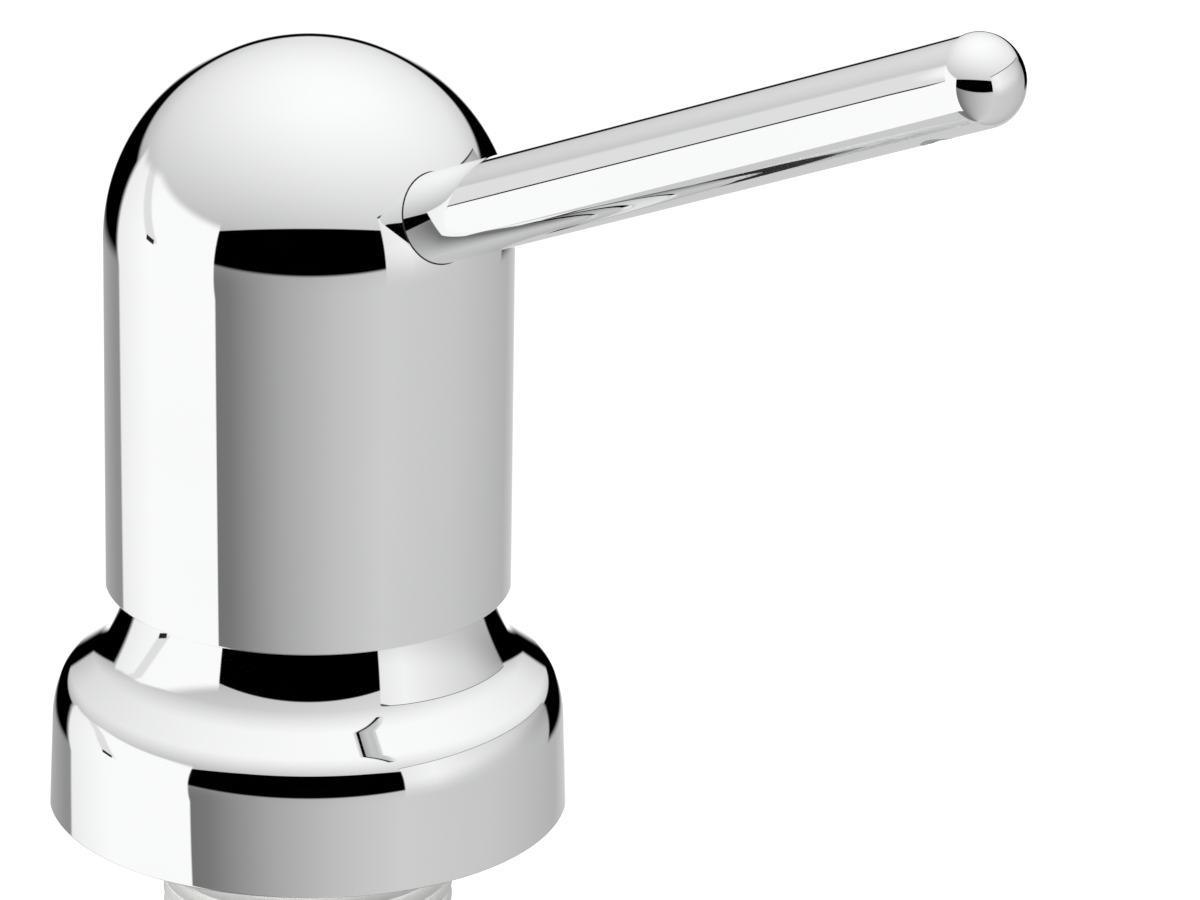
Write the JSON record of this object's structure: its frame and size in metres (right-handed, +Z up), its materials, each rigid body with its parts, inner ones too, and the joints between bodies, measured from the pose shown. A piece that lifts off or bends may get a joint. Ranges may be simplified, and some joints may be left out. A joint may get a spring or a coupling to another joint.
{
  "type": "deck-mounted soap pump dispenser",
  "caption": "Worktop soap dispenser: domed push-down pump head with a long straight rising spout, flared base flange, threaded shank with clamp nut, and a screw-on bottle.",
  "frame": {"origin": "centre of the base's seat, on the plane of the worktop's top surface", "axes": "+Z up, along the shank, stem and head; +X the way the spout points"},
  "size_m": [0.1211, 0.062, 0.2866],
  "materials": {
    "chrome_plate": "polished chrome plate",
    "steel": "stainless, plain",
    "rubber": "matt moulded",
    "white_plastic": "moulded, satin",
    "grey_plastic": "moulded, satin",
    "bottle_plastic": "blow moulded, translucent",
    "clear_tube": "extruded, translucent"
  },
  "bodies": {
    "base": {"base_flange": "chrome_plate", "base_gasket": "rubber", "shank": "white_plastic"},
    "clamp": {"deck_washer": "rubber", "clamp_washer": "steel"},
    "nut": {"mounting_nut": "grey_plastic"},
    "bottle_seat": {"bottle_seal": "rubber"},
    "bottle": {"bottle": "bottle_plastic"},
    "pump": {"pump_body": "white_plastic", "neck_seal": "rubber", "guide_bush": "grey_plastic", "stem_wiper": "rubber", "ball_cage": "grey_plastic", "dip_tube": "clear_tube", "return_spring": "steel"},
    "inlet_valve": {"inlet_ball": "steel"},
    "plunger": {"piston": "grey_plastic", "piston_seal": "rubber", "stem": "white_plastic", "swivel_clip": "steel"},
    "outlet_valve": {"outlet_ball": "steel"},
    "head": {"head_core": "grey_plastic", "retaining_ring": "steel", "head_shell": "chrome_plate", "spout_tube": "chrome_plate", "spout_seal": "rubber", "spout_liner": "clear_tube", "outlet_nozzle": "grey_plastic"}
  },
  "joints": [
    {"name": "pump_lift", "type": "slide", "parent": "base", "child": "pump", "axis": [0, 0, 1], "range_m": [0, 0.21]},
    {"name": "pump_stroke", "type": "slide", "parent": "pump", "child": "plunger", "axis": [0, 0, -1], "range_m": [0, 0.004], "stiffness_N_per_m": 1200, "springref_m": -0.006, "deforming": ["return_spring"]},
    {"name": "head_swivel", "type": "hinge", "parent": "plunger", "child": "head", "pos_m": [0, 0, 0.04], "axis": [0, 0, 1], "continuous": true},
    {"name": "inlet_lift", "type": "slide", "parent": "pump", "child": "inlet_valve", "axis": [0, 0, 1], "range_m": [0, 0.0011]},
    {"name": "outlet_lift", "type": "slide", "parent": "plunger", "child": "outlet_valve", "axis": [0, 0, 1], "range_m": [0, 0.002]},
    {"name": "clamp_travel", "type": "slide", "parent": "base", "child": "clamp", "axis": [0, 0, 1], "range_m": [-0.006, 0.027]},
    {"name": "nut_turn", "type": "hinge", "parent": "clamp", "child": "nut", "pos_m": [0, 0, -0.039], "axis": [0, 0, 1], "range_deg": [-1440, 6480]},
    {"name": "bottle_travel", "type": "slide", "parent": "base", "child": "bottle_seat", "axis": [0, 0, 1], "range_m": [-0.012, 0]},
    {"name": "bottle_turn", "type": "hinge", "parent": "bottle_seat", "child": "bottle", "pos_m": [0, 0, -0.065], "axis": [0, 0, 1], "range_deg": [-2880, 0]}
  ],
  "couplings": [
    {"joint": "nut_turn", "follows": "clamp_travel", "rad_per_m": 4188.8},
    {"joint": "bottle_turn", "follows": "bottle_travel", "rad_per_m": 4188.8}
  ]
}
